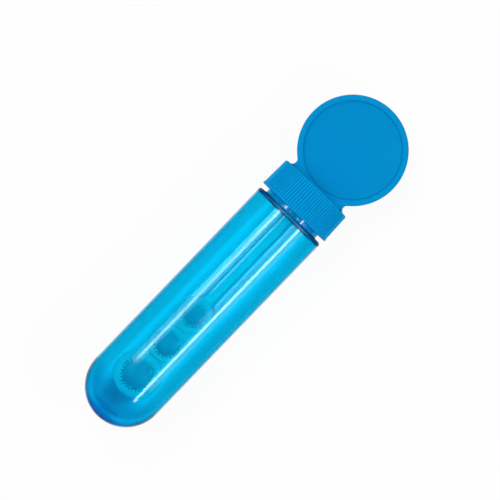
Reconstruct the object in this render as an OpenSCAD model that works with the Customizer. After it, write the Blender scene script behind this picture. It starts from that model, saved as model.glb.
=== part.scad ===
// Bubble wand: a clear round-ended tube, a ribbed screw cap with a flat round paddle on its top, a wand
// with three serrated rings that hangs inside, and a soft sealing washer.
// Every piece is drawn standing on the tube's tip, with its axis up Z, and lay_down() puts it on its side,
// with the middle of the barrel at the origin.

/* [Tube] */
// Outside radius of the barrel
barrel_r = 13.1; // [12.5:0.1:13.3]
// Height of the shoulder above the tip
shoulder_z = 88; // [80:1:120]
// Wall of the barrel and shoulder
wall = 1.3; // [1:0.1:1.6]
// Thickness of the closed end at the tip
tip_wall = 2.2; // [1.8:0.1:3]
// Rounding of the shoulder's outer edge
shoulder_round = 0.9; // [0.4:0.1:1.5]
// Rounding of the cavity's corner under the shoulder
cavity_round = 0.5; // [0.3:0.1:1]

/* [Neck and thread] */
// Radius of the neck between its threads
neck_r = 10.7; // [10.5:0.1:10.8]
// Height of the neck above the shoulder
neck_h = 9.6; // [9.4:0.1:11]
// Wall of the neck
neck_wall = 1.4; // [1.1:0.1:1.5]
// Rise of the thread in one turn
lead = 3.175; // [3:0.025:3.3]
// Turns of thread on the neck
thread_turns = 1.25; // [1:0.05:1.3]
// How far the thread stands out of the neck
thread_h = 1.1; // [0.9:0.05:1.1]

/* [Cap] */
// Gap between the shoulder and the closed cap
cap_gap = 1.5; // [1.2:0.1:2]
// Outside radius of the skirt above its foot flange
skirt_r = 13.32; // [13.2:0.02:13.5]
// Inside radius of the skirt
cap_bore_r = 12.05; // [12:0.05:12.1]
// Thickness of the cap's roof
roof = 1.2; // [1:0.1:1.6]
// Draft of the skirt, in degrees
draft = 1.7; // [0.5:0.1:2]
// Ribs on each of the two gripping arcs
ribs = 31; // [15:2:31]

/* [Paddle] */
// Radius of the paddle
paddle_r = 17.6; // [14:0.1:22]
// Thickness of the paddle at its rim
paddle_t = 2.8; // [2.4:0.1:3.4]
// Width of the raised rim round both panels
rim_w = 1.95; // [1.5:0.05:3]
// Depth of each panel below its rim
panel_depth = 0.35; // [0.2:0.05:0.5]
// How far the paddle's circle dips into the cap's roof
paddle_sink = 1; // [0.6:0.1:1.2]
// Fillet between the paddle's web and the roof
web_fillet = 1.6; // [1.2:0.1:2]

/* [Wand] */
// Height of the wand's lowest point above the tube's tip
wand_drop = 10.3; // [8:0.1:20]
// Thickness of the ring bands
ring_t = 2.6; // [2:0.1:3]
// Thickness of the webs between the rings
web_t = 1.6; // [1.2:0.1:2]
// Width of the stem
stem_w = 3.4; // [3:0.1:4]
// Width of the blade between its rings
waist_w = 10.2; // [8:0.1:10.4]

/* [Seal] */
// Thickness of the sealing washer
seal_t = 1; // [0.8:0.1:1.2]

/* [Hidden] */
$fn = 96;

eps = 0.01;

// Tube and neck
cavity_r = barrel_r - wall;
bore_r = neck_r - neck_wall;
rim_z = shoulder_z + neck_h;
gate_r = 1.3;       // recess round the gate mark at the tip
gate_depth = 0.45;
gate_nub_r = 0.5;
rim_edge = 0.25;    // chamfer round the rim
neck_from_z = shoulder_z / 2;   // the neck's outline starts inside the barrel

// Thread: crest and root widths, and how deep each ridge is rooted in its wall
root_w = 1.9;
crest_w = 1.0;
root_sink = 0.4;
run_out = 36;       // degrees over which a ridge rises to its full height
end_share = 0.2;    // share of its height that a ridge has at its two ends
thread_step = 12;   // degrees between two sections of a ridge
thread_from = 4;    // height above the shoulder at which the neck's ridge starts
thread_z = shoulder_z + thread_from;
cap_thread_h = 1.0;
cap_root_w = 1.8;
cap_thread_from = 60;           // degrees along the helix at which the cap's ridge starts
cap_thread_turns = thread_turns - 0.15;

// Cap
cap_z = shoulder_z + cap_gap;
roof_under_z = rim_z + seal_t;
cap_top_z = roof_under_z + roof;
cap_h = cap_top_z - cap_z;
foot_h = 0.9;
foot_out = 0.13;    // how far the foot flange stands out of the skirt
foot_round = 0.2;
top_round = 0.6;
bore_chamfer = 0.35;
rib_pitch = 4.15;   // degrees
groove_r = 0.27;
groove_depth = 0.24;
small_fn = 24;      // facets of the grooves and the snap bead in a quick look
skirt_top_r = skirt_r - (cap_h - foot_h) * tan(draft);

// Socket for the wand's peg, and the peg itself
unscrew_turns = 1.5;
unscrew_rise = unscrew_turns * lead;
peg_r = 2;
peg_play = 0.04;
socket_wall = 1.6;
socket_r = peg_r + socket_wall;
collar_clear = 0.1; // gap left between collar and washer when the cap is off its thread
socket_end_z = rim_z - unscrew_rise - collar_clear;
peg_clear = 0.2;    // gap above the peg
peg_h = roof_under_z - socket_end_z - peg_clear;
bead_r = 0.35;      // snap bead round the peg, which turns in a groove of the socket
bead_h = 0.2;       // how far the bead stands out of the peg
collar_r = 4.4;
collar_t = 1.4;

// Paddle
paddle_z = cap_top_z - paddle_sink + paddle_r;
panel_r = paddle_r - rim_w;
edge_round = 0.7;

// Wand: each ring is [height above the lowest ring, outer radius, mean hole radius, teeth]
rings = [[0, 7.9, 4.95, 28], [13.7, 6.1, 4.0, 22], [26, 5.95, 3.55, 20]];
ring_z = wand_drop + rings[0][1];
tooth_in = 0.4;     // a tooth's tip lies this far inside the hole's mean radius
tooth_out = 0.45;   // and the notch beside it this far outside
notch_mouth = 0.30; // half width of a notch at its mouth, as a share of the tooth pitch
notch_foot = 0.18;  // and at its foot
band_lip = 0.35;    // solid band left round the notches
band_round = 0.5;
waist_fillet = 2.5;
stem_fillet = 2;
stem_t = 2.2;

// Seal
seal_r = 10.5;
seal_gap = 0.25;    // between the washer and the cap's socket
seal_hole_r = socket_r + seal_gap;

// Middle of the straight barrel, where a hand or a holder grips it
grip_z = (barrel_r + shoulder_z - shoulder_round) / 2;

module lay_down() rotate([0, 90, 0]) translate([0, 0, -grip_z]) children();

// Half outline of a barrel from its round end at z0 to its flat end at z1, with a rounded edge there
module barrel_outline(r, z0, z1, edge) {
    intersection() {
        translate([0, z0 + r]) circle(r);
        translate([0, z0]) square(r);
    }
    translate([0, z0 + r - eps]) square([r, z1 - z0 - r - edge + eps]);
    translate([0, z0 + r]) square([r - edge, z1 - z0 - r]);
    translate([r - edge, z1 - edge]) circle(edge);
}

// One section of a thread ridge at angle a: root and crest radii, height share k, middle height z
function ridge_section(a, z, root, crest, k, w_root, w_crest) = let (
        r = root + (crest - root) * k,
        sunk = root - sign(crest - root) * root_sink)
    [for (p = [[sunk, -w_root / 2], [r, -w_crest / 2], [r, w_crest / 2], [sunk, w_root / 2]])
        [p[0] * cos(a), p[0] * sin(a), z + p[1]]];

// Right-hand thread ridge on the helix that passes angle 0 at height z. It runs from angle a0 for some
// turns, and rises to its full height at each end.
module thread_ridge(z, root, crest, w_root, w_crest, turns, a0 = 0) {
    steps = round(turns * 360 / thread_step);
    points = [for (i = [0 : steps]) let (
            a = i * thread_step,
            k = min(1, end_share + a / run_out, end_share + (steps * thread_step - a) / run_out))
        each ridge_section(a0 + a, z + lead * (a0 + a) / 360, root, crest, k, w_root, w_crest)];
    outward = crest > root;
    sides = [for (i = [0 : steps - 1]) for (j = [0 : 3]) let (
            p = 4 * i + j, q = 4 * i + (j + 1) % 4)
        each outward ? [[p, q, q + 4], [p, q + 4, p + 4]] : [[p, q + 4, q], [p, p + 4, q + 4]]];
    last = 4 * steps;
    ends = outward ? [[3, 2, 1, 0], [last, last + 1, last + 2, last + 3]]
        : [[0, 1, 2, 3], [last + 3, last + 2, last + 1, last]];
    polyhedron(points, concat(sides, ends));
}

module tube() lay_down() color([0.0, 0.72, 0.92, 0.6]) {
    difference() {
        rotate_extrude() {
            barrel_outline(barrel_r, 0, shoulder_z, shoulder_round);
            polygon([
                [0, neck_from_z], [neck_r, neck_from_z], [neck_r, rim_z - rim_edge],
                [neck_r - rim_edge, rim_z], [0, rim_z]]);
        }
        rotate_extrude() {
            barrel_outline(cavity_r, tip_wall, shoulder_z - wall, cavity_round);
            translate([0, neck_from_z]) square([bore_r, rim_z]);
        }
        translate([0, 0, -eps]) cylinder(r = gate_r, h = gate_depth + eps);
    }
    cylinder(r = gate_nub_r, h = gate_depth + tip_wall / 2);
    thread_ridge(thread_z, neck_r, neck_r + thread_h, root_w, crest_w, thread_turns);
}

// Solid of the cap's outside: foot flange, drafted skirt and rounded top edge
module cap_outside() rotate_extrude() {
    translate([0, cap_z]) polygon([
        [0, 0], [skirt_r + foot_out, 0], [skirt_r + foot_out, foot_h - foot_round],
        [skirt_r, foot_h], [skirt_top_r, cap_h - top_round], [0, cap_h - top_round]]);
    translate([0, cap_z]) square([skirt_top_r - top_round, cap_h]);
    translate([skirt_top_r - top_round, cap_top_z - top_round]) circle(top_round);
}

// Grooves between the ribs: the two sides of the cap, in the plane of the paddle, stay smooth
module grip_grooves() {
    for (side = [0, 180], i = [0 : ribs])
        rotate([0, 0, side + (i - ribs / 2) * rib_pitch])
            translate([skirt_r + groove_r - groove_depth, 0, cap_z + foot_h])
                rotate([0, -draft, 0]) cylinder(r = groove_r, h = cap_h, $fn = small_fn);
}

// Outline of the web that joins the roof to the paddle, with a fillet at each side
module web_outline() {
    across = sqrt(pow(paddle_r + web_fillet, 2) - pow(paddle_z - cap_top_z - web_fillet, 2));
    touch_z = paddle_z - (paddle_z - cap_top_z - web_fillet) * paddle_r / (paddle_r + web_fillet);
    difference() {
        translate([-across, cap_top_z - roof / 2]) square([2 * across, touch_z - cap_top_z + roof / 2]);
        for (side = [-1, 1]) translate([side * across, cap_top_z + web_fillet]) circle(web_fillet);
    }
}

// Half section of the paddle, from its axis out: two panels below a rounded rim
module paddle_section() {
    difference() {
        square([paddle_r - edge_round, paddle_t / 2]);
        translate([0, paddle_t / 2 - panel_depth]) polygon([
            [-1, 0], [panel_r - panel_depth, 0], [panel_r, panel_depth + eps], [-1, panel_depth + eps]]);
    }
    square([paddle_r, paddle_t / 2 - edge_round]);
    translate([paddle_r - edge_round, paddle_t / 2 - edge_round]) circle(edge_round);
}

module paddle() {
    translate([0, 0, paddle_z]) rotate([0, 90, 0]) for (side = [0, 1]) mirror([0, 0, side])
        rotate_extrude() intersection() {
            paddle_section();
            square(paddle_r + 1);
        }
}

// Ring of round section in the middle of the peg's height
module snap_bead(r) translate([0, 0, socket_end_z + peg_h / 2]) rotate_extrude()
    translate([peg_r + bead_h - bead_r, 0]) circle(r, $fn = small_fn);

module cap() lay_down() color([0.0, 0.53, 0.8]) {
    difference() {
        union() {
            cap_outside();
            rotate([90, 0, 90]) linear_extrude(paddle_t, center = true) web_outline();
            paddle();
        }
        grip_grooves();
        translate([0, 0, cap_z - eps]) cylinder(r = cap_bore_r, h = roof_under_z - cap_z + eps);
        translate([0, 0, cap_z - eps])
            cylinder(r1 = cap_bore_r + bore_chamfer, r2 = cap_bore_r, h = bore_chamfer);
    }
    difference() {
        translate([0, 0, socket_end_z]) cylinder(r = socket_r, h = roof_under_z - socket_end_z + eps);
        translate([0, 0, socket_end_z - eps])
            cylinder(r = peg_r + peg_play, h = roof_under_z - socket_end_z + eps);
        snap_bead(bead_r + peg_play);
    }
    thread_ridge(thread_z - lead / 2, cap_bore_r, cap_bore_r - cap_thread_h, cap_root_w, crest_w,
        cap_thread_turns, cap_thread_from);
}

// Round hole with square notches cut all round its edge, which hold the soap film
module toothed_hole(r, teeth) {
    notch = [
        [-notch_mouth, -tooth_in], [-notch_foot, tooth_out],
        [notch_foot, tooth_out], [notch_mouth, -tooth_in]];
    polygon([for (i = [0 : teeth - 1], p = notch) let (a = (i + p[0]) * 360 / teeth)
        (r + p[1]) * [cos(a), sin(a)]]);
}

// Bar of half width w along +Y from a ring of radius r, with a fillet f where each side leaves the ring
module filleted_bar(r, w, f, length) {
    foot = sqrt(pow(r + f, 2) - pow(w + f, 2));
    difference() {
        polygon([[0, 0], [w + f, foot], [-w - f, foot]]);
        for (side = [-1, 1]) translate([side * (w + f), foot]) circle(f);
    }
    translate([-w, 0]) square([2 * w, length]);
}

// Flat outline of the waists that join the rings
module waist_outline() {
    for (i = [0, 1]) {
        half = (rings[i + 1][0] - rings[i][0]) / 2;
        translate([0, rings[i][0]]) filleted_bar(rings[i][1], waist_w / 2, waist_fillet, half + eps);
        translate([0, rings[i + 1][0]]) mirror([0, 1])
            filleted_bar(rings[i + 1][1], waist_w / 2, waist_fillet, half + eps);
    }
}

// Band of a ring, with its outer edges rounded
module ring_band(g) difference() {
    rotate_extrude() {
        translate([0, -ring_t / 2]) square([g[1] - band_round, ring_t]);
        translate([0, band_round - ring_t / 2]) square([g[1], ring_t - 2 * band_round]);
        for (side = [-1, 1])
            translate([g[1] - band_round, side * (ring_t / 2 - band_round)]) circle(band_round);
    }
    linear_extrude(2 * ring_t, center = true) toothed_hole(g[2], g[3]);
}

module wand() lay_down() color([0.95, 0.96, 0.97]) {
    top = rings[2];
    stem_h = socket_end_z - collar_t - ring_z - top[0];
    rotate([90, 0, 90]) translate([0, ring_z]) {
        linear_extrude(web_t, center = true) difference() {
            waist_outline();
            for (g = rings) translate([0, g[0]]) circle(g[2] + tooth_out + band_lip);
        }
        for (g = rings) translate([0, g[0]]) ring_band(g);
        linear_extrude(stem_t, center = true) translate([0, top[0]]) difference() {
            filleted_bar(top[1], stem_w / 2, stem_fillet, stem_h + eps);
            circle(top[2] + tooth_out + band_lip);
        }
    }
    translate([0, 0, socket_end_z - collar_t]) cylinder(r = collar_r, h = collar_t);
    translate([0, 0, socket_end_z - eps]) cylinder(r = peg_r, h = peg_h);
    snap_bead(bead_r);
}

module seal_washer() lay_down() color([0.93, 0.93, 0.9]) translate([0, 0, rim_z]) difference() {
    cylinder(r = seal_r, h = seal_t);
    translate([0, 0, -eps]) cylinder(r = seal_hole_r, h = seal_t + 2 * eps);
}

tube();
cap();
wand();
seal_washer();
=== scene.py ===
import math

import bpy
import numpy as np
from mathutils import Matrix, Vector


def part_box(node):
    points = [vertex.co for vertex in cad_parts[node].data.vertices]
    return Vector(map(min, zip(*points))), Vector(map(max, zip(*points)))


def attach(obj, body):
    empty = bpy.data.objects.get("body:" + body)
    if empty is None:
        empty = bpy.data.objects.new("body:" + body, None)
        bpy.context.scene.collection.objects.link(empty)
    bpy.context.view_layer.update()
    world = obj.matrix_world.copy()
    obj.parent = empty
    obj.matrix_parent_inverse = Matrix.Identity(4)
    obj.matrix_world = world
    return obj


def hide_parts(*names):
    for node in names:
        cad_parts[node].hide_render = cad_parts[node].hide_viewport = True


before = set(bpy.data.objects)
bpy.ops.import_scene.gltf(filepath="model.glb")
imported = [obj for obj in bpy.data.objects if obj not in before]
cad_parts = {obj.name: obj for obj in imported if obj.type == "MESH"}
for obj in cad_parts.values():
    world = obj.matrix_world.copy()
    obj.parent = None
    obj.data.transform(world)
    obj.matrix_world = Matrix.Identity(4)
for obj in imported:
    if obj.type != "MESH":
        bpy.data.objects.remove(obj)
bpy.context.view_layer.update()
print("frame loaded:", ", ".join(sorted(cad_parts)))

# Pieces are in mm and degrees. A name that ends in Z is a height above the tube's tip, along the axis, and
# one that ends in R is a radius. poleR is the radius of the loop that a pole's fan starts from.
mm = 0.001
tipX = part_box("tube")[0].x                                       # metres, in the frame
floorHeight = min(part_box(node)[0].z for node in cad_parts)  # metres, in the frame


def placed(along, across, up):
    # mm along the axis from the tip, to its left and above it, as points of the frame in metres
    along, across, up = np.broadcast_arrays(along, across, up)
    return np.stack([tipX + along * mm, across * mm, up * mm], axis=-1)


def arc(first, second, radius, start, end, count):
    # (first, second) + radius * (cos a, sin a), for even steps of a from start to end, in degrees
    a = np.radians(np.linspace(start, end, count))
    return np.column_stack([first + radius * np.cos(a), second + radius * np.sin(a)])


def line(start, end, count):
    # count even points from start to end, without the end
    share = np.linspace(0, 1, count, endpoint=False)[:, None]
    return np.array(start) * (1 - share) + np.array(end) * share


def revolved(along, out, turns):
    # a point (along, out) of the profile, turned by a about the axis: across = out sin a, up = -out cos a
    return placed(along, out * np.sin(turns), -out * np.cos(turns))


def fullTurn(count):
    # count even angles round the axis, as one row
    return np.linspace(0, 2 * np.pi, count, endpoint=False)[None, :]


def closedShell(rows, joinEnds=False, poles=None):
    # rows has the shape (loops, points of a loop, 3). Each closed loop is joined to the next by quads, and
    # the two end loops get a fan to their middle or to poles, or are joined to each other. Where the volume
    # comes out negative, every face is turned round.
    count, around = rows.shape[:2]
    index = np.arange(count * around).reshape(count, around)
    points = rows.reshape(-1, 3)
    if joinEnds:
        index = np.vstack([index, index[:1]])
    here, there = index[:-1], index[1:]
    quads = np.stack([here, np.roll(here, -1, 1), np.roll(there, -1, 1), there], -1).reshape(-1, 4)
    fans = np.zeros((0, 3), int)
    if not joinEnds:
        first, last = index[0], index[-1]
        tip = np.full(around, count * around)
        fans = np.vstack([np.stack([np.roll(first, -1), first, tip], -1),
                          np.stack([last, np.roll(last, -1), tip + 1], -1)])
        points = np.vstack([points, poles if poles is not None else [rows[0].mean(0), rows[-1].mean(0)]])
    corners = points[np.vstack([quads[:, [0, 1, 2]], quads[:, [0, 2, 3]], fans])]
    volume = np.einsum("ij,ij->i", corners[:, 0], np.cross(corners[:, 1], corners[:, 2])).sum()
    if volume < 0:
        quads, fans = quads[:, ::-1], fans[:, ::-1]
    return points, quads, fans


def makePiece(name, shells, body, nodes, material, sharpAngle):
    # joins closed shells into one mesh, smooth but for edges sharper than sharpAngle
    points, faces, offset = [], [], 0
    for shellPoints, quads, fans in shells:
        points.append(shellPoints)
        faces += (quads + offset).tolist() + (fans + offset).tolist()
        offset += len(shellPoints)
    mesh = bpy.data.meshes.new(name)
    mesh.from_pydata(np.vstack(points), [], faces)
    mesh.polygons.foreach_set("use_smooth", np.ones(len(faces), bool))
    mesh.set_sharp_from_angle(angle=math.radians(sharpAngle))
    mesh.update()
    piece = bpy.data.objects.new(name, mesh)
    bpy.context.scene.collection.objects.link(piece)
    mesh.materials.append(material)
    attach(piece, body)
    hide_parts(*nodes)
    triangles = sum(2 * len(quads) + len(fans) for _, quads, fans in shells)
    print(f"{name}: {triangles} triangles")


class Signal:
    # one socket of a node tree; an expression on it adds the Math nodes that it names
    def __init__(self, tree, socket=None):
        self.tree = tree
        self.socket = socket

    def node(self, kind, settings=None, values=None, out=0):
        # any node: its type, then its settings, then the values or links of its sockets
        made = self.tree.nodes.new(kind)
        for key, value in (settings or {}).items():
            if key == "stops":
                stops = made.color_ramp.elements
                while len(stops) < len(value):
                    stops.new(0.5)
                for stop, (place, colour) in zip(stops, value):
                    stop.position = place
                    stop.color = (*colour, 1.0)
            else:
                setattr(made, key, value)
        for key, value in (values or {}).items():
            if isinstance(value, Signal):
                self.tree.links.new(value.socket, made.inputs[key])
            else:
                made.inputs[key].default_value = value
        return Signal(self.tree, made.outputs[out]) if made.outputs else made

    def outs(self, *keys):
        # the named outputs of this socket's node
        return [Signal(self.tree, self.socket.node.outputs[key]) for key in keys]

    def math(self, operation, *values):
        return self.node("ShaderNodeMath", {"operation": operation}, dict(enumerate(values)))

    def __add__(self, other):
        return self.math("ADD", self, other)

    __radd__ = __add__

    def __sub__(self, other):
        return self.math("SUBTRACT", self, other)

    def __rsub__(self, other):
        return self.math("SUBTRACT", other, self)

    def __mul__(self, other):
        return self.math("MULTIPLY", self, other)

    __rmul__ = __mul__


def newMaterial(name):
    material = bpy.data.materials.new(name)
    material.use_nodes = True
    material.node_tree.nodes.clear()
    return material, Signal(material.node_tree)


def objectPlace(nodes, stretch=(1, 1, 1)):
    # the point's own coordinates in metres, multiplied by stretch
    place = nodes.node("ShaderNodeTexCoord", out=3)
    return nodes.node("ShaderNodeMapping", {}, {"Vector": place, "Scale": stretch})


def alongAcross(nodes):
    # the point's own coordinates along and across the axis, in metres
    return nodes.node("ShaderNodeSeparateXYZ", {}, {"Vector": objectPlace(nodes)}).outs("X", "Y")


def noise(nodes, scale, detail, stretch=(1, 1, 1)):
    return nodes.node("ShaderNodeTexNoise", {}, {
        "Vector": objectPlace(nodes, stretch), "Scale": scale, "Detail": detail})


def between(nodes, value, low, high):
    # 1 where value lies between low and high, else 0
    return nodes.math("COMPARE", value, (low + high) / 2, (high - low) / 2)


def mixed(nodes, share, first, second, blend="MIX"):
    # colour that goes from first to second, or to their product, as share goes from 0 to 1
    colours = [colour if isinstance(colour, Signal) else (*colour, 1.0) for colour in (first, second)]
    return nodes.node("ShaderNodeMix", {"data_type": "RGBA", "blend_type": blend},
                      {0: share, 6: colours[0], 7: colours[1]}, out=2)


def spreadRoughness(pattern, finish):
    # the finish's roughness, give or take half its spread as the pattern goes from 0 to 1
    return pattern * finish["spread"] + (finish["roughness"] - finish["spread"] / 2)


def bumped(nodes, height, distance):
    return nodes.node("ShaderNodeBump", {}, {"Height": height, "Distance": distance})


def finished(nodes, values, inside=None):
    # ends a material in a Principled shader and, for clear plastic, in what its inside absorbs
    shader = nodes.node("ShaderNodeBsdfPrincipled", {}, values)
    ends = {"Surface": shader}
    if inside:
        ends["Volume"] = nodes.node("ShaderNodeVolumeAbsorption", {}, inside)
    nodes.node("ShaderNodeOutputMaterial", {}, ends)


# a value whose name holds Loops says where the even loops of a straight run start, or start and end
tube = {"barrelR": 13.1, "wall": 1.3, "tipWall": 2.2, "cavityTopZ": 86.8, "innerRound": 0.5,
        # the moulding gate's mark, as (height, radius) from the pole outwards: a small nub in a dimple
        "gate": ((0, 0.2), (0, 0.42), (0.08, 0.5), (0.36, 0.52), (0.45, 0.62), (0.45, 1.12), (0.36, 1.24),
                 (0.16, 1.3), (0.085, 1.36)),
        "domeR": 1.42,                 # where the plain dome starts, outside the gate's mark
        "shoulderZ": 88.0, "shoulderRound": 0.9, "shoulderR": 11.3, "neckR": 10.7, "neckRound": 0.25,
        "rimZ": 97.6, "rimR": 10.3, "boreR": 9.3, "boreRound": 0.2,
        "outerLoopsZ": 22.1, "neckLoopsZ": 88.31, "boreLoopsZ": 96.0, "innerLoopsZ": (80.0, 20.0),
        "around": 256, "sharpAngle": 32}
thread = {"lead": 3.175, "height": 1.1, "rootWidth": 1.9, "crestWidth": 1.0, "sink": 0.4, "startZ": 92.0,
          "startAngle": 0.0, "turns": 1.25, "runOut": 36.0, "endShare": 0.2}


def ridgeHeight(along, turns, ridge):
    # Height of a thread ridge above its wall. Its middle climbs the helix startZ + lead * angle / 360. Its
    # section is a trapezoid that is rooted sink deep in the wall, and it tapers off at both ends.
    rootWidth, endAngle = ridge["rootWidth"], ridge["startAngle"] + ridge["turns"] * 360
    best = np.zeros(np.broadcast(along, turns).shape)
    for lap in range(math.ceil(endAngle / 360)):
        angle = np.degrees(turns) + 360 * lap
        fromStart, toEnd = angle - ridge["startAngle"], endAngle - angle
        share = np.minimum(1, ridge["endShare"] + np.minimum(fromStart, toEnd) / ridge["runOut"])
        off = np.abs(along - ridge["startZ"] - ridge["lead"] * angle / 360)
        flank = np.clip((rootWidth / 2 - off) / ((rootWidth - ridge["crestWidth"]) / 2), 0, 1)
        rise = (ridge["height"] * share + ridge["sink"]) * flank - ridge["sink"]
        best = np.where((fromStart >= 0) & (toEnd >= 0), np.maximum(best, rise), best)
    return best


def tubeShell():
    # one profile from the outer pole at the tip, over shoulder, neck and rim, and back down the inside,
    # turned about the axis; the neck's rows are pushed out by the thread
    barrelR, neckR, boreR = tube["barrelR"], tube["neckR"], tube["boreR"]
    shoulderZ, rimZ, cavityTopZ = tube["shoulderZ"], tube["rimZ"], tube["cavityTopZ"]
    shoulderRound, neckRound = tube["shoulderRound"], tube["neckRound"]
    boreRound, innerRound = tube["boreRound"], tube["innerRound"]
    innerFrom, innerTo = tube["innerLoopsZ"]
    cavityR = barrelR - tube["wall"]
    domeFrom = math.degrees(math.asin(tube["domeR"] / barrelR))
    profile = np.vstack([
        tube["gate"],
        arc(barrelR, 0, barrelR, 180 - domeFrom, 90, 44),
        line([tube["outerLoopsZ"], barrelR], [shoulderZ - shoulderRound, barrelR], 8),
        arc(shoulderZ - shoulderRound, barrelR - shoulderRound, shoulderRound, 90, 0, 10),
        [[shoulderZ, tube["shoulderR"]]],
        arc(shoulderZ + neckRound, neckR + neckRound, neckRound, 180, 270, 6)[1:],
        line([tube["neckLoopsZ"], neckR], [rimZ - neckRound, neckR], 112),
        arc(rimZ - neckRound, neckR - neckRound, neckRound, 90, 0, 6),
        line([rimZ, tube["rimR"]], [rimZ, boreR + boreRound], 3),
        arc(rimZ - boreRound, boreR + boreRound, boreRound, 0, -90, 5),
        line([tube["boreLoopsZ"], boreR], [cavityTopZ + boreRound, boreR], 5),
        arc(cavityTopZ + boreRound, boreR + boreRound, boreRound, 270, 180, 5),
        arc(cavityTopZ - innerRound, cavityR - innerRound, innerRound, 0, 90, 10),
        line([innerFrom, cavityR], [innerTo, cavityR], 7),
        arc(tube["tipWall"] + cavityR, 0, cavityR, 90, 178, 44),
    ])
    along, out = profile[:, :1], profile[:, 1:]
    turns = fullTurn(tube["around"])
    outside = out > (neckR + boreR) / 2
    return closedShell(revolved(along, out + outside * ridgeHeight(along, turns, thread), turns))


# A pattern is a noise's scale, its detail and, where it is drawn out along the axis, its stretch. The
# heights of ripple, grain and cells are in metres.
clearBlue = {"tint": (0.1, 0.955, 0.975), "tintDeep": (0.08, 0.94, 0.97), "cloud": (60, 2, (0.35, 1, 1)),
             "ior": 1.49, "roughness": 0.035, "spread": 0.03, "fine": (900, 3),
             "ripple": (30, 1, (0.25, 1, 1)), "rippleHeight": 0.000003,
             "blurZ": (86.85, 88.15), "blur": 0.3,       # the shoulder is moulded rougher
             "absorbed": (0.0, 0.931, 0.999), "density": 1600.0,
             # heights and the share of the tint there, painted shade: the closed end, which is thicker, is
             # tinted darker than its plastic absorbs, and the neck darker as if in the cap's shadow
             "paintedShades": ((1.2, (0.7, 0.26, 0.5)), (2.3, (0.8, 0.82, 0.9)), (4.0, (0.8, 0.9, 0.96)),
                        (9.0, (0.9, 0.87, 0.94)), (16.5, (1, 1, 1)), (87.9, (1, 1, 1)),
                        (88.0, (0.8, 0.67, 0.86)))}


def clearBlueMaterial():
    material, nodes = newMaterial("clearBlue")
    along = alongAcross(nodes)[0]
    share = nodes.node("ShaderNodeMapRange", {}, {
        "Value": along, "From Min": tipX, "From Max": tipX + tube["rimZ"] * mm})
    # painted shade along the axis: darker towards the closed end and on the neck
    stops = [(height / tube["rimZ"], colour) for height, colour in clearBlue["paintedShades"]]
    paintedShade = nodes.node("ShaderNodeValToRGB", {"stops": stops}, {"Fac": share})
    tint = mixed(nodes, noise(nodes, *clearBlue["cloud"]), clearBlue["tint"], clearBlue["tintDeep"])
    atShoulder = between(nodes, along, *(tipX + height * mm for height in clearBlue["blurZ"]))
    roughness = spreadRoughness(noise(nodes, *clearBlue["fine"]), clearBlue)
    finished(nodes, {
        "Base Color": mixed(nodes, 1.0, tint, paintedShade, "MULTIPLY"),
        "Roughness": roughness + atShoulder * clearBlue["blur"],
        "IOR": clearBlue["ior"], "Transmission Weight": 1.0,
        "Normal": bumped(nodes, noise(nodes, *clearBlue["ripple"]), clearBlue["rippleHeight"])},
        {"Color": (*clearBlue["absorbed"], 1.0), "Density": clearBlue["density"]})
    return material


cap = {"footZ": 89.5, "topZ": 99.8, "underZ": 98.6, "footHeight": 0.9, "footR": 13.45, "footRound": 0.12,
       "footSlope": 0.2, "skirtR": 13.32, "draft": 1.7, "topRound": 0.6, "skirtLoopsZ": 98.4, "step": 0.001,
       "mouthR": 12.4, "mouthDepth": 0.35, "mouthEdge": 0.03, "boreR": 12.05, "boreRound": 0.25,
       "grooves": 32, "pitch": 4.15, "grooveHalf": 0.28, "grooveDepth": 0.36,
       "smoothFrom": 2.0, "smoothSteps": 22,           # the two sides without grooves
       "socketR": 3.6, "socketEndZ": 92.7375, "socketFillet": 0.3, "socketRound": 0.2,
       "roofLoopsR": 11.0, "socketMiddleZ": 95.0,
       "pegLength": 5.6625, "pegHoleR": 2.04, "beadGroove": 0.39, "beadOut": 1.85,
       "holeSoftZ": 98.3, "holeSoft": 0.05, "holeEndZ": 98.56, "poleR": (0.6, 0.5), "sharpAngle": 40,
       "thread": {"height": 1.0, "rootWidth": 1.8, "startAngle": 60.0, "turns": 1.1}}


def gripAngles():
    # seven angles across each groove, two across each rib, and even steps round the two smooth sides
    half = math.degrees(cap["grooveHalf"] / cap["skirtR"])
    middles = (np.arange(cap["grooves"]) - (cap["grooves"] - 1) / 2) * cap["pitch"]
    groove = np.array([-1, -0.93, -0.6, 0, 0.6, 0.93, 1]) * half
    rib = half + (cap["pitch"] - 2 * half) * np.array([0.3, 0.7])
    gripped = (middles[:, None] + np.concatenate([groove, rib])[None, :]).ravel()
    smoothFrom, smoothTo = gripped[-1] + cap["smoothFrom"], 180 + gripped[0] - cap["smoothFrom"]
    smooth = np.linspace(smoothFrom, smoothTo, cap["smoothSteps"])
    halfTurn = np.concatenate([gripped, smooth])
    return np.radians(np.concatenate([halfTurn, halfTurn + 180]))


def grooveDepth(turns):
    # depth at a distance from the nearest groove's middle: grooveDepth sqrt(1 - (distance / half width)^2)
    degrees = np.degrees(turns)
    depth = np.zeros_like(degrees)
    last = cap["grooves"] - 1
    for side in (0, 180):
        off = (degrees - side + 180) % 360 - 180
        nearest = np.clip(np.round(off / cap["pitch"] + last / 2), 0, last)
        away = np.radians(off - (nearest - last / 2) * cap["pitch"]) * cap["skirtR"]
        inside = cap["grooveDepth"] * np.sqrt(np.maximum(1 - (away / cap["grooveHalf"]) ** 2, 0))
        depth = np.maximum(depth, inside)
    return depth


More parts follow.
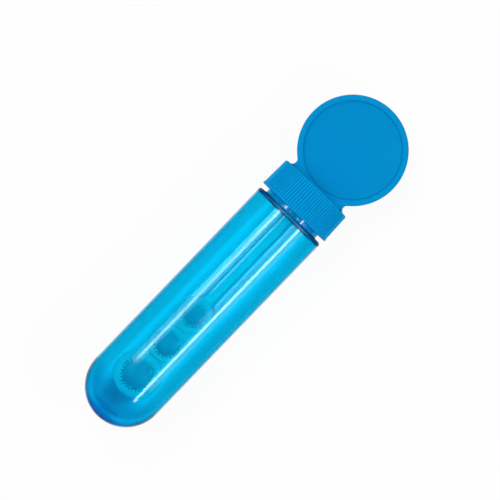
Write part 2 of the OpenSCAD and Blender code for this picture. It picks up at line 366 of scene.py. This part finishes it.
def socketProfile():
    # from the bore's end over the roof's underside and down the socket, then up the peg's hole, with its
    # bead groove, to the pole
    underZ, boreR, boreRound = cap["underZ"], cap["boreR"], cap["boreRound"]
    socketR, socketEndZ = cap["socketR"], cap["socketEndZ"]
    fillet, rounding, holeR = cap["socketFillet"], cap["socketRound"], cap["pegHoleR"]
    beadZ, holeEndZ = socketEndZ + cap["pegLength"] / 2, cap["holeEndZ"]
    reach = math.degrees(math.acos((holeR - cap["beadOut"]) / cap["beadGroove"]))
    return np.vstack([
        arc(underZ - boreRound, boreR - boreRound, boreRound, 90, 0, 5),
        line([underZ, cap["roofLoopsR"]], [underZ, socketR + fillet], 4),
        arc(underZ - fillet, socketR + fillet, fillet, 0, -90, 5),
        [[cap["socketMiddleZ"], socketR]],
        arc(socketEndZ + rounding, socketR - rounding, rounding, 90, 180, 5),
        arc(socketEndZ + rounding, holeR + rounding, rounding, 180, 270, 5),
        arc(beadZ, cap["beadOut"], cap["beadGroove"], 90 + reach, 90 - reach, 9),
        [[cap["holeSoftZ"], holeR], [holeEndZ, holeR - cap["holeSoft"]], [holeEndZ, cap["poleR"][1]]],
    ])


def capShell():
    # one profile from the roof's middle down the skirt, up the threaded bore and round the socket, turned
    # about the axis; the grooves cut the skirt and the thread stands into the bore
    footZ, topZ, footR, skirtR = cap["footZ"], cap["topZ"], cap["footR"], cap["skirtR"]
    topRound, footRound, skirtZ = cap["topRound"], cap["footRound"], cap["skirtLoopsZ"]
    mouthR, mouthEdge, boreR = cap["mouthR"], cap["mouthEdge"], cap["boreR"]
    slope = math.tan(math.radians(cap["draft"]))
    skirtFoot = footZ + cap["footHeight"]
    skirtEnd = skirtFoot + cap["step"]              # a groove ends in a face across it, on the foot flange
    topR = skirtR - (topZ - skirtFoot) * slope
    outside = np.vstack([
        line([topZ, cap["poleR"][0]], [topZ, topR - topRound], 5),
        arc(topZ - topRound, topR - topRound, topRound, 0, 90, 9),
        line([skirtZ, skirtR - (skirtZ - skirtFoot) * slope], [skirtEnd, skirtR], 6),
        [[skirtEnd, skirtR]],
    ])
    foot = np.vstack([
        [[skirtFoot, skirtR], [skirtFoot - cap["footSlope"], footR], [footZ + footRound, footR]],
        arc(footZ + footRound, footR - footRound, footRound, 90, 180, 5)[1:],
        [[footZ, mouthR + 2 * mouthEdge], [footZ + mouthEdge, mouthR]],
    ])
    bore = line([footZ + cap["mouthDepth"], boreR], [cap["underZ"] - cap["boreRound"], boreR], 76)
    turns = gripAngles()[None, :]
    profile = np.vstack([outside, foot, bore, socketProfile()])
    along, out = profile[:, :1], np.repeat(profile[:, 1:], turns.shape[1], 1)
    row = np.arange(len(profile))[:, None]
    grooved = skirtR - (along - skirtFoot) * slope - grooveDepth(turns)
    out = np.where(row < len(outside), np.minimum(out, grooved), out)
    ridge = {**thread, **cap["thread"], "startZ": thread["startZ"] - thread["lead"] / 2}
    rise = ridgeHeight(along, turns % (2 * np.pi), ridge)
    boreFrom = len(outside) + len(foot)
    inBore = (row >= boreFrom) & (row < boreFrom + len(bore))
    return closedShell(revolved(along, np.where(inBore, out - rise, out), turns))


paddle = {"centreZ": 116.4, "radius": 17.6, "thick": 2.8, "edge": 0.7, "fillet": 1.6, "rootZ": 99.2,
          "discSteps": 168, "filletSteps": 16, "baseSteps": 24,
          "footLean": 13.0,            # the web's foot meets the panel so far past the end of the fillet
          "panelR": 15.65, "panelDepth": 0.35, "floorShares": (0.1, 0.4, 0.7, 0.92),
          # the panel's edge from its floor upwards: mm past panelR, and the share of its depth
          "panelEdge": ((-0.45, 1.0), (-0.36, 0.95), (-0.08, 0.12), (0.0, 0.02), (0.1, 0.0)),
          "rimShares": (0.35, 0.7), "sharpAngle": 40}


def paddleOutline():
    # Outline of disc, web and fillets, counter-clockwise in (across, along) from the right foot of the web,
    # with its outward normals and, for each point, the angle at which it meets the round panel
    radius, fillet, centreZ, roofZ = paddle["radius"], paddle["fillet"], paddle["centreZ"], cap["topZ"]
    baseSteps, rootZ = paddle["baseSteps"], paddle["rootZ"]
    rise = centreZ - roofZ - fillet
    side = math.sqrt((radius + fillet) ** 2 - rise ** 2)
    touch = math.degrees(math.atan2(-rise, side))
    discSweep = (touch, 180 - touch, paddle["discSteps"])
    filletSweep = (270, 180 + touch, paddle["filletSteps"])
    bendPoints = arc(side, roofZ + fillet, fillet, *filletSweep)[:-1]
    bendNormals = -arc(0, 0, 1, *filletSweep)[:-1]
    flip = np.array([-1, 1])
    footRight = np.array([[side, rootZ]])
    footNormal = np.array([[0.0, 1.0]])
    base = np.column_stack([np.linspace(-side, side, baseSteps + 2)[1:-1], np.full(baseSteps, rootZ)])
    points = np.vstack([footRight, bendPoints, arc(0, centreZ, radius, *discSweep),
                        bendPoints[::-1] * flip, footRight * flip, base])
    normals = np.vstack([footNormal, bendNormals, arc(0, 0, 1, *discSweep),
                         bendNormals[::-1] * flip, footNormal, np.zeros((baseSteps, 2))])
    footAngle = touch - paddle["footLean"]
    rightAngles = np.linspace(footAngle, touch, len(bendPoints) + 1, endpoint=False)
    baseAngles = np.linspace(180 - footAngle, 360 + footAngle, baseSteps + 2)[1:-1]
    angles = np.concatenate([rightAngles, np.linspace(*discSweep), 180 - rightAngles[::-1], baseAngles])
    return points, normals, np.radians(angles)


def paddleShell():
    # Loops of the outline from the middle of the upper panel, over the rounded edge, to that of the lower.
    # At angle b of the edge's round the outline moves in by edge (1 - cos b) and rises to edge sin b.
    edge, flat, panelR = paddle["edge"], paddle["thick"] / 2, paddle["panelR"]
    points, normals, angles = paddleOutline()
    panel = np.column_stack([np.cos(angles), np.sin(angles)])
    centre = np.array([0, paddle["centreZ"]])
    floorR = panelR + paddle["panelEdge"][0][0]
    loops = [centre + panel * floorR * share for share in paddle["floorShares"]]
    heights = [flat - paddle["panelDepth"]] * len(loops)
    for out, drop in paddle["panelEdge"]:
        loops.append(centre + panel * (panelR + out))
        heights.append(flat - paddle["panelDepth"] * drop)
    panelRim, edgeTop = loops[-1], points - normals * edge
    for share in paddle["rimShares"]:
        loops.append(panelRim * (1 - share) + edgeTop * share)
        heights.append(flat)
    for b in np.radians([90, 72, 54, 36, 18, 0]):
        loops.append(points - normals * edge * (1 - math.cos(b)))
        heights.append(flat - edge * (1 - math.sin(b)))
    loops, heights = np.array(loops), np.array(heights)[:, None]
    loops = np.concatenate([loops, loops[::-1]])
    heights = np.concatenate([heights, -heights[::-1]])
    return closedShell(placed(loops[..., 1], loops[..., 0], np.repeat(heights, loops.shape[1], 1)))


capBlue = {"colour": (0.0, 0.282, 0.626), "colourDeep": (0.0, 0.26, 0.596), "cloud": (90, 3),
           "roughness": 0.5, "spread": 0.08, "specular": 0.02, "grain": (2600, 2), "grainHeight": 0.00002,
           "ribLight": (1.0, 1.24, 1.15),       # share of the colour on the ribbed skirt, painted light: lighter, to make up for the shade in its grooves
           # mm from the paddle's middle and the share of the colour there: painted shade on the sunk panel, a
           # darker painted shadow in the step at its edge, and a painted highlight on the rim
           "rings": ((0.0, (1, 0.96, 0.97)), (15.2, (1, 0.96, 0.97)), (15.5, (1, 0.74, 0.8)),
                     (15.65, (1, 0.74, 0.8)), (15.95, (1, 1.0, 1.0)), (16.6, (1, 1.06, 1.04)))}


def capBlueMaterial():
    material, nodes = newMaterial("capBlue")
    cloud = noise(nodes, *capBlue["cloud"])
    along, across = alongAcross(nodes)
    # painted light: the ribbed skirt is coloured lighter, to make up for the shade of its grooves
    onRibs = between(nodes, along, tipX + (cap["footZ"] + cap["footHeight"]) * mm, tipX + cap["topZ"] * mm)
    plain = mixed(nodes, cloud, capBlue["colourDeep"], capBlue["colour"])
    past = along - (tipX + paddle["centreZ"] * mm)
    away = nodes.math("SQRT", past * past + across * across)
    # painted shade and highlight on the paddle's panel, edge and rim, by distance from its middle
    ring = nodes.node("ShaderNodeValToRGB", {
        "stops": [(out / paddle["radius"], share) for out, share in capBlue["rings"]]},
        {"Fac": away * (1 / (paddle["radius"] * mm))})
    finished(nodes, {
        "Base Color": mixed(nodes, onRibs, mixed(nodes, 1.0, plain, ring, "MULTIPLY"),
                            mixed(nodes, 1.0, plain, capBlue["ribLight"], "MULTIPLY")),
        "Roughness": spreadRoughness(cloud, capBlue),
        "Specular IOR Level": capBlue["specular"],
        "Normal": bumped(nodes, noise(nodes, *capBlue["grain"]), capBlue["grainHeight"])})
    return material


# a ring's hole is the middle radius of its serrated edge; notchMouth and notchFoot are half widths, as shares
# of the teeth's pitch
wand = {"rings": ({"middleZ": 18.2, "outer": 7.9, "hole": 4.95, "teeth": 28},
                  {"middleZ": 31.9, "outer": 6.1, "hole": 4.0, "teeth": 22},
                  {"middleZ": 44.2, "outer": 5.95, "hole": 3.55, "teeth": 20}),
        "toothIn": 0.4, "flankOut": 0.03, "notchOut": 0.45, "notchMouth": 0.30, "notchFoot": 0.18,
        "lip": 0.35, "lipStep": 0.02, "holeEdge": 0.12, "bandThick": 2.6, "bandRound": 0.5, "bandLoop": 0.3,
        "waistHalf": 5.1, "waistFillet": 2.5, "waistThick": 1.6, "waistCorner": 0.3,
        "stemHalf": 1.7, "stemFillet": 2.0, "stemThick": 2.2, "stemCorner": 0.45, "stemSink": 0.3,
        "stemRows": 9, "stemGap": 2.0, "filletSteps": 12,
        "collarR": 4.4, "collarThick": 1.4, "collarRound": 0.25, "pegR": 2.0, "pegFillet": 0.15,
        "pegRound": 0.3, "beadR": 0.35, "poleR": (0.8, 0.4), "around": 72, "sharpAngle": 50}


def ringShell(middleZ, outer, hole, teeth):
    # Band of a ring. Its inner edge steps between tooth tips and notches. Its section is a loop with a round
    # outer edge: out = outer - rounding (1 - cos b), up = +-(half thickness - rounding (1 - sin b)).
    mouth, foot = wand["notchMouth"], wand["notchFoot"]
    tooth, flank, notch = -wand["toothIn"], wand["flankOut"], wand["notchOut"]
    half, rounding, edge = wand["bandThick"] / 2, wand["bandRound"], wand["holeEdge"]
    shares = np.array([-mouth, -(mouth + foot) / 2, -foot, 0, foot, (mouth + foot) / 2, mouth, 0.5])
    reach = np.array([tooth, flank, notch, notch, notch, flank, tooth, tooth])
    turns = (np.arange(teeth)[:, None] + shares[None, :]).ravel() * 2 * np.pi / teeth
    inner = hole + np.tile(reach, teeth)
    middle = np.full_like(inner, (hole + outer) / 2 + wand["bandLoop"])
    section = [(inner, half - edge), (inner + edge, half), (middle, half)]
    for b in np.radians([90, 67, 45, 22, 0]):
        out = np.full_like(inner, outer - rounding * (1 - math.cos(b)))
        section.append((out, half - rounding * (1 - math.sin(b))))
    section += [(out, -up) for out, up in section[::-1]]
    rows = [placed(middleZ + out * np.sin(turns), out * np.cos(turns), up) for out, up in section]
    return closedShell(np.array(rows), joinEnds=True)


def roundedBar(alongSide, halfWidth, halfThick, endBulge, corner):
    # Bar with a rounded rectangle as its section and a half width that varies along it. A row's point moves
    # along the axis by endBulge sqrt(1 - (x / half width)^2), so that rows near the ends follow the rings.
    quarter = np.radians(np.linspace(0, 90, 5))
    across, up = [], []
    for sideX, sideUp, flip in ((1, 1, False), (-1, 1, True), (-1, -1, False), (1, -1, True)):
        bend = quarter[::-1] if flip else quarter
        across += [(sideX, -corner * sideX * (1 - math.cos(b))) for b in bend]
        up += [sideUp * (halfThick - corner * (1 - math.sin(b))) for b in bend]
        if not flip:
            across += [(sideX * share, 0.0) for share in (0.6, 0.2, -0.2, -0.6)]
            up += [sideUp * halfThick] * 4
    scale, shift = np.array(across).T
    xs = halfWidth[:, None] * scale[None, :] + shift[None, :]
    ups = np.broadcast_to(np.array(up)[None, :], xs.shape)
    bulge = endBulge[:, None] * np.sqrt(np.maximum(1 - (xs / halfWidth[:, None]) ** 2, 0))
    ends = alongSide[[0, -1]] + endBulge[[0, -1]]
    return closedShell(placed(alongSide[:, None] + bulge, xs, ups), poles=placed(ends, 0, 0))


def filletedSide(ring, half, fillet):
    # (distance from the ring's middle, half width) along the fillet from a ring to a bar: a circle that
    # touches both
    foot = math.sqrt((ring["outer"] + fillet) ** 2 - (half + fillet) ** 2)
    touch = math.atan2(-foot, -(half + fillet))
    b = np.linspace(touch, -math.pi, wand["filletSteps"])
    return foot + fillet * np.sin(b), half + fillet + fillet * np.cos(b)


def clearOfHole(ring, along):
    # how far the middle of each row moves out, so that no row crosses the ring's hole
    reach = ring["hole"] + wand["notchOut"] + wand["lip"] + wand["lipStep"] * np.arange(len(along))
    return np.maximum(reach - along, 0)


def waistShell(lower, upper):
    # plate between two rings, with a fillet at each corner
    lowAlong, lowHalf = filletedSide(lower, wand["waistHalf"], wand["waistFillet"])
    upAlong, upHalf = filletedSide(upper, wand["waistHalf"], wand["waistFillet"])
    along = np.concatenate([lower["middleZ"] + lowAlong, (upper["middleZ"] - upAlong)[::-1]])
    half = np.concatenate([lowHalf, upHalf[::-1]])
    bulge = np.concatenate([clearOfHole(lower, lowAlong), -clearOfHole(upper, upAlong)[::-1]])
    return roundedBar(along, half, wand["waistThick"] / 2, bulge, wand["waistCorner"])


def stemShell(ring):
    # stem from the top ring into the collar, with a fillet at the ring
    sideAlong, sideHalf = filletedSide(ring, wand["stemHalf"], wand["stemFillet"])
    filletEnd = ring["middleZ"] + sideAlong[-1]
    collarZ = cap["socketEndZ"] - wand["collarThick"]
    rest = np.linspace(filletEnd + wand["stemGap"], collarZ + wand["stemSink"], wand["stemRows"])
    along = np.concatenate([ring["middleZ"] + sideAlong, rest])
    half = np.concatenate([sideHalf, np.full(len(rest), wand["stemHalf"])])
    bulge = np.concatenate([clearOfHole(ring, sideAlong), np.zeros(len(rest))])
    return roundedBar(along, half, wand["stemThick"] / 2, bulge, wand["stemCorner"])


def pegShell():
    # collar, peg and snap bead, turned about the axis
    low, high = cap["socketEndZ"] - wand["collarThick"], cap["socketEndZ"]
    top, beadZ = high + cap["pegLength"], high + cap["pegLength"] / 2
    collarR, collarRound = wand["collarR"], wand["collarRound"]
    pegR, pegFillet, pegRound = wand["pegR"], wand["pegFillet"], wand["pegRound"]
    reach = math.degrees(math.acos((pegR - cap["beadOut"]) / wand["beadR"]))
    profile = np.vstack([
        [[low, wand["poleR"][0]]],
        arc(low + collarRound, collarR - collarRound, collarRound, 180, 90, 6),
        arc(high - collarRound, collarR - collarRound, collarRound, 90, 0, 6),
        [[high, pegR + pegFillet]],
        arc(high + pegFillet, pegR + pegFillet, pegFillet, 180, 270, 4),
        arc(beadZ, cap["beadOut"], wand["beadR"], 90 + reach, 90 - reach, 9),
        arc(top - pegRound, pegR - pegRound, pegRound, 90, 0, 6),
        [[top, wand["poleR"][1]]],
    ])
    return closedShell(revolved(profile[:, :1], profile[:, 1:], fullTurn(wand["around"])))


# the wand is white plastic: its colours are painted darker, against the stronger light through clear plastic,
# and the stem is painted lighter than the rings
wandWhite = {"colour": (0.54, 0.57, 0.65), "colourDeep": (0.49, 0.52, 0.60), "cloud": (140, 3),
             "litStemColour": (0.60, 0.63, 0.70), "roughness": 0.47, "spread": 0.1, "through": 0.22, "ior": 1.3,
             "grain": (1200, 2), "grainHeight": 0.00001}


def wandWhiteMaterial():
    material, nodes = newMaterial("wandWhite")
    cloud = noise(nodes, *wandWhite["cloud"])
    topRing = wand["rings"][-1]
    # painted light: the stem is coloured lighter than the rings
    onStem = nodes.math("GREATER_THAN", alongAcross(nodes)[0],
                        tipX + (topRing["middleZ"] + topRing["outer"]) * mm)
    plain = mixed(nodes, cloud, wandWhite["colour"], wandWhite["colourDeep"])
    finished(nodes, {
        "Base Color": mixed(nodes, onStem, plain, wandWhite["litStemColour"]),
        "Roughness": spreadRoughness(cloud, wandWhite),
        "Transmission Weight": wandWhite["through"], "IOR": wandWhite["ior"],
        "Normal": bumped(nodes, noise(nodes, *wandWhite["grain"]), wandWhite["grainHeight"])})
    return material


seal = {"outerR": 10.5, "holeR": 3.85, "thick": 1.0, "round": 0.18, "around": 120, "sharpAngle": 32}


def sealShell():
    # flat washer with rounded edges on the tube's rim, turned about the axis
    outerR, holeR, rounding = seal["outerR"], seal["holeR"], seal["round"]
    low, high = tube["rimZ"], tube["rimZ"] + seal["thick"]
    profile = np.vstack([
        arc(high - rounding, outerR - rounding, rounding, 90, 0, 5),
        arc(high - rounding, holeR + rounding, rounding, 0, -90, 5),
        arc(low + rounding, holeR + rounding, rounding, 270, 180, 5),
        arc(low + rounding, outerR - rounding, rounding, 180, 90, 5),
    ])
    return closedShell(revolved(profile[:, :1], profile[:, 1:], fullTurn(seal["around"])), joinEnds=True)


foamWhite = {"colour": (0.84, 0.84, 0.80), "colourDeep": (0.78, 0.78, 0.74), "roughness": 0.9,
             "cellScale": 3500.0, "cellHeight": 0.00006}


def foamMaterial():
    material, nodes = newMaterial("foamWhite")
    cells = nodes.node("ShaderNodeTexVoronoi", {}, {
        "Vector": objectPlace(nodes), "Scale": foamWhite["cellScale"]})
    finished(nodes, {
        "Base Color": mixed(nodes, cells, foamWhite["colourDeep"], foamWhite["colour"]),
        "Roughness": foamWhite["roughness"],
        "Normal": bumped(nodes, cells, foamWhite["cellHeight"])})
    return material


tubeFinish, capFinish = clearBlueMaterial(), capBlueMaterial()
wandFinish, foamFinish = wandWhiteMaterial(), foamMaterial()
lowRing, middleRing, topRing = wand["rings"]
wandShells = [*(ringShell(**ring) for ring in wand["rings"]), waistShell(lowRing, middleRing),
              waistShell(middleRing, topRing), stemShell(topRing), pegShell()]
makePiece("tubeShell", [tubeShell()], "tube", ["tube"], tubeFinish, tube["sharpAngle"])
makePiece("screwCap", [capShell()], "cap", ["cap"], capFinish, cap["sharpAngle"])
makePiece("paddle", [paddleShell()], "cap", ["cap"], capFinish, paddle["sharpAngle"])
makePiece("wandMoulding", wandShells, "wand", ["wand"], wandFinish, wand["sharpAngle"])
makePiece("sealWasher", [sealShell()], "seal", ["seal_washer"], foamFinish, seal["sharpAngle"])
print("pieces made")


# From here on lengths are in metres. A level is a brightness, and plain white has 1. The floor is lit paper,
# but for a share of plain white: whiteShare to the camera, and seenThrough behind clear plastic.
stage = {"floorSize": 3.0, "paperShade": (0.93, 0.93, 0.93), "whiteShare": 0.93, "seenThrough": 0.06,
         "white": (1, 1, 1), "roomShade": (0.025, 0.09, 0.3),
         "paperHalf": 0.037, "paperNear": 0.016, "paperFar": 0.028,  # where mirrored paper turns dark
         "diffuseLevel": 0.34, "wallLevel": 1.45, "wallLean": 2.0,   # straight up, to the sides, to the left
         "throughLevel": 1.6, "sideLevel": 1.0,                      # the same through clear plastic
         "endShade": 1.3, "endLevel": 0.3}                           # loss beyond the ends, and what is left


def rayKinds(nodes):
    # 1 or 0 for a ray from the camera, a mirrored one, and one through clear plastic, which is glossy too
    camera, glossy, through = nodes.node("ShaderNodeLightPath").outs(
        "Is Camera Ray", "Is Glossy Ray", "Is Transmission Ray")
    return camera, glossy * (1 - through), through


def floorMaterial():
    # White paper that the camera sees nearly as plain white, so that a faint shadow is left. What is
    # mirrored of it is plain white close to the tube and the shade of the dark room further off.
    material, nodes = newMaterial("paleFloor")
    camera, mirrored, through = rayKinds(nodes)
    along, across = alongAcross(nodes)
    past = nodes.math("MAXIMUM", nodes.math("ABSOLUTE", along) - stage["paperHalf"], 0.0)
    away = nodes.math("SQRT", past * past + across * across)
    dim = nodes.node("ShaderNodeMapRange", {}, {
        "Value": away, "From Min": stage["paperNear"], "From Max": stage["paperFar"]})
    glow = nodes.node("ShaderNodeEmission", {}, {
        "Color": mixed(nodes, mirrored * dim, stage["white"], stage["roomShade"]), "Strength": 1.0})
    paper = nodes.node("ShaderNodeBsdfDiffuse", {}, {"Color": (*stage["paperShade"], 1.0)})
    share = camera * stage["whiteShare"] + mirrored + through * stage["seenThrough"]
    both = nodes.node("ShaderNodeMixShader", {}, {0: nodes.math("MINIMUM", share, 1.0), 1: paper, 2: glow})
    nodes.node("ShaderNodeOutputMaterial", {}, {"Surface": both})
    return material


def makeFloor():
    half = stage["floorSize"] / 2
    corners = ((-half, -half), (half, -half), (half, half), (-half, half))
    mesh = bpy.data.meshes.new("floor")
    mesh.from_pydata([(x, y, floorHeight) for x, y in corners], [], [(0, 1, 2, 3)])
    mesh.materials.append(floorMaterial())
    floor = bpy.data.objects.new("floor", mesh)
    bpy.context.scene.collection.objects.link(floor)


def makeWorld():
    # Plain white to the camera and a dark room to what mirrors it. To any other ray it is the light, which
    # is stronger towards the sides and through clear plastic, and weak beyond the two ends of the tube.
    world = bpy.data.worlds.new("studio")
    bpy.context.scene.world = world
    world.use_nodes = True
    world.node_tree.nodes.clear()
    nodes = Signal(world.node_tree)
    camera, mirrored, through = rayKinds(nodes)
    direction = nodes.node("ShaderNodeTexCoord")
    towardsX, towardsY = nodes.node("ShaderNodeSeparateXYZ", {}, {"Vector": direction}).outs("X", "Y")
    ends, sides = towardsX * towardsX, towardsY * towardsY
    litThrough = stage["throughLevel"] * (1 + sides * stage["sideLevel"])
    litPlain = stage["diffuseLevel"] * (1 + sides * (stage["wallLevel"] + towardsY * stage["wallLean"]))
    fade = nodes.math("MAXIMUM", 1 - ends * ends * stage["endShade"], stage["endLevel"])
    lit = (through * litThrough + (1 - through) * litPlain) * fade
    background = nodes.node("ShaderNodeBackground", {}, {
        "Color": mixed(nodes, mirrored * (1 - camera), stage["white"], stage["roomShade"]),
        "Strength": camera + (1 - camera) * (mirrored + (1 - mirrored) * lit)})
    nodes.node("ShaderNodeOutputWorld", {}, {"Surface": background})


# each strip: degrees from straight up, positive to the left of the axis, width as seen in degrees, radiance,
# and the x where it starts; all end at endX, and each is a step nearer than the last, so that light adds up
strips = {"leftCore": (30.5, 8.0, 5.8, -0.071), "leftCoreNear": (30.5, 9.0, 3.0, 0.022),
          "leftBand": (31.3, 26.5, 1.1, -0.073), "leftLine": (9.9, 5.5, 1.8, -0.017),
          "rightCore": (-45.8, 7.0, 10.0, -0.15), "rightBand": (-50.2, 28.5, 1.0, -0.080),
          "rightBandNear": (-28.7, 14.5, 1.0, -0.034)}
stripPlace = {"distance": 0.5, "step": 0.004, "endX": 0.25}


def makeStrips():
    # an area lamp's power is its radiance times pi times its area
    for number, (name, (lean, seenWidth, radiance, startX)) in enumerate(strips.items()):
        distance = stripPlace["distance"] - stripPlace["step"] * number
        angle = math.radians(lean)
        lamp = bpy.data.lights.new(name, "AREA")
        lamp.shape = "RECTANGLE"
        lamp.size = stripPlace["endX"] - startX
        lamp.size_y = 2 * distance * math.tan(math.radians(seenWidth / 2))
        lamp.energy = radiance * math.pi * lamp.size * lamp.size_y
        holder = bpy.data.objects.new(name, lamp)
        bpy.context.scene.collection.objects.link(holder)
        middleX = (startX + stripPlace["endX"]) / 2
        holder.location = (middleX, distance * math.sin(angle), distance * math.cos(angle))
        holder.rotation_euler = (-angle, 0, 0)
        holder.visible_camera = False


# frame is the width that is seen at the height of the axis; the sensor is in mm
view = {"centre": (0.02116, 0.0016), "distance": 0.70, "tilt": 1.0, "roll": 46.103, "frame": 0.15798,
        "sensor": 36, "nearest": 0.01}


def makeCamera():
    # looks down at the centre from a little towards the paddle, with the axis running up to the right
    tilt, roll = math.radians(view["tilt"]), math.radians(view["roll"])
    back = Vector((math.sin(tilt), 0, math.cos(tilt)))
    ahead = Vector((math.cos(tilt), 0, -math.sin(tilt)))
    left = Vector((0, 1, 0))
    right = ahead * math.cos(roll) - left * math.sin(roll)
    up = ahead * math.sin(roll) + left * math.cos(roll)
    place = Vector((*view["centre"], 0)) + back * view["distance"]
    cameraData = bpy.data.cameras.new("camera")
    cameraData.sensor_width = view["sensor"]
    cameraData.lens = view["sensor"] * view["distance"] / view["frame"]
    cameraData.clip_start = view["nearest"]
    camera = bpy.data.objects.new("camera", cameraData)
    bpy.context.scene.collection.objects.link(camera)
    camera.matrix_world = Matrix((*zip(right, up, back, place), (0, 0, 0, 1)))
    bpy.context.scene.camera = camera


makeFloor()
makeWorld()
makeStrips()
makeCamera()
bpy.context.scene.view_settings.view_transform = "Standard"
print("stage, lamps and camera set")
